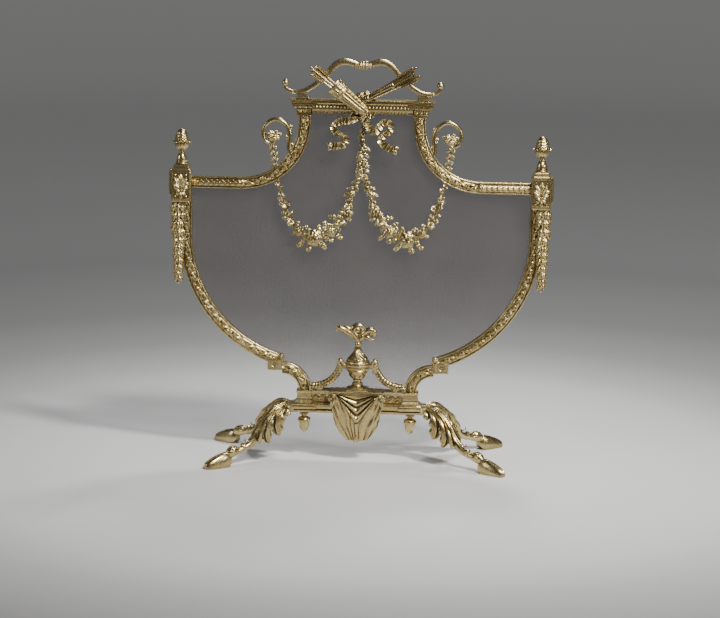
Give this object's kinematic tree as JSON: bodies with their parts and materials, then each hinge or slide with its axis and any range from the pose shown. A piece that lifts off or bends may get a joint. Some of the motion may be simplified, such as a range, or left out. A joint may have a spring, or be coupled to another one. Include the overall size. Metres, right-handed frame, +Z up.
{
  "type": "fireplace screen",
  "caption": "Free-standing fire screen: shield-shaped wire gauze in a cast gilt frame with urn, garlands and a bow handle, on splayed hoofed legs.",
  "frame": {"origin": "on the hearth, midway between the four hooves, below the middle of the gauze panel", "axes": "+X to the viewer's right along the screen, +Y to the back (the fire side), +Z up"},
  "size_m": [0.742, 0.2508, 0.79],
  "materials": {
    "gilt_frame": "satin",
    "gilt_ornament": "satin",
    "plain_brass": "matte",
    "fastener_brass": "satin",
    "gauze": "matte"
  },
  "bodies": {
    "screen": {"base_bar": "plain_brass", "base_rail": "gilt_frame", "base_frieze": "gilt_frame", "base_pad_left": "gilt_frame", "base_pad_right": "gilt_frame", "leg_front_left": "gilt_ornament", "leg_front_right": "gilt_ornament", "leg_back_left": "gilt_ornament", "leg_back_right": "gilt_ornament", "leg_screws": "fastener_brass", "tie_bolt_left": "fastener_brass", "tie_bolt_right": "fastener_brass", "apron": "gilt_ornament", "urn_shelf": "gilt_frame", "urn_body": "gilt_ornament", "urn_lid": "gilt_ornament", "urn_flame": "gilt_ornament", "urn_swag_left": "gilt_ornament", "urn_swag_right": "gilt_ornament", "lower_scroll_left": "gilt_frame", "lower_scroll_right": "gilt_frame", "side_bar_left": "gilt_frame", "side_bar_right": "gilt_frame", "corner_block_left": "gilt_frame", "corner_block_right": "gilt_frame", "pendant_left": "gilt_ornament", "pendant_right": "gilt_ornament", "finial_stud_left": "fastener_brass", "finial_stud_right": "fastener_brass", "top_bar_left": "gilt_frame", "top_bar_right": "gilt_frame", "capital_left": "gilt_frame", "capital_right": "gilt_frame", "top_rail": "gilt_frame", "cornice_cap": "gilt_frame", "handle_pads": "gilt_frame", "bow_handle": "gilt_ornament", "quiver": "gilt_ornament", "quiver_arrows": "gilt_ornament", "arrow_sheaf": "gilt_ornament", "rose_sprig": "gilt_ornament", "ribbon_bow": "gilt_ornament", "garland_drop": "gilt_ornament", "garland_left": "gilt_ornament", "garland_right": "gilt_ornament", "scroll_loop_left": "gilt_ornament", "scroll_loop_right": "gilt_ornament", "gauze_panel": "gauze", "mesh_retainer_left": "plain_brass", "mesh_retainer_right": "plain_brass", "retainer_screws": "fastener_brass"},
    "finial_collar_left": {"finial_collar_left": "gilt_frame"},
    "finial_left": {"finial_left": "gilt_ornament"},
    "acorn_collar_left": {"acorn_collar_left": "gilt_frame"},
    "acorn_nut_left": {"acorn_nut_left": "gilt_ornament"},
    "finial_collar_right": {"finial_collar_right": "gilt_frame"},
    "finial_right": {"finial_right": "gilt_ornament"},
    "acorn_collar_right": {"acorn_collar_right": "gilt_frame"},
    "acorn_nut_right": {"acorn_nut_right": "gilt_ornament"}
  },
  "joints": [
    {"name": "finial_rise_left", "type": "slide", "parent": "screen", "child": "finial_collar_left", "axis": [0, 0, 1], "range_m": [0, 0.006]},
    {"name": "finial_turn_left", "type": "hinge", "parent": "finial_collar_left", "child": "finial_left", "pos_m": [-0.348, -0.01, 0.583], "axis": [0, 0, 1], "range_deg": [0, 1441]},
    {"name": "acorn_drop_left", "type": "slide", "parent": "screen", "child": "acorn_collar_left", "axis": [0, 0, -1], "range_m": [0, 0.006]},
    {"name": "acorn_turn_left", "type": "hinge", "parent": "acorn_collar_left", "child": "acorn_nut_left", "pos_m": [-0.1045, 0, 0.086], "axis": [0, 0, -1], "range_deg": [0, 1441]},
    {"name": "finial_rise_right", "type": "slide", "parent": "screen", "child": "finial_collar_right", "axis": [0, 0, 1], "range_m": [0, 0.006]},
    {"name": "finial_turn_right", "type": "hinge", "parent": "finial_collar_right", "child": "finial_right", "pos_m": [0.348, -0.01, 0.583], "axis": [0, 0, 1], "range_deg": [0, 1441]},
    {"name": "acorn_drop_right", "type": "slide", "parent": "screen", "child": "acorn_collar_right", "axis": [0, 0, -1], "range_m": [0, 0.006]},
    {"name": "acorn_turn_right", "type": "hinge", "parent": "acorn_collar_right", "child": "acorn_nut_right", "pos_m": [0.1045, 0, 0.086], "axis": [0, 0, -1], "range_deg": [0, 1441]}
  ],
  "couplings": [
    {"joint": "finial_turn_left", "follows": "finial_rise_left", "rad_per_m": 4188.8},
    {"joint": "acorn_turn_left", "follows": "acorn_drop_left", "rad_per_m": 4188.8},
    {"joint": "finial_turn_right", "follows": "finial_rise_right", "rad_per_m": 4188.8},
    {"joint": "acorn_turn_right", "follows": "acorn_drop_right", "rad_per_m": 4188.8}
  ]
}
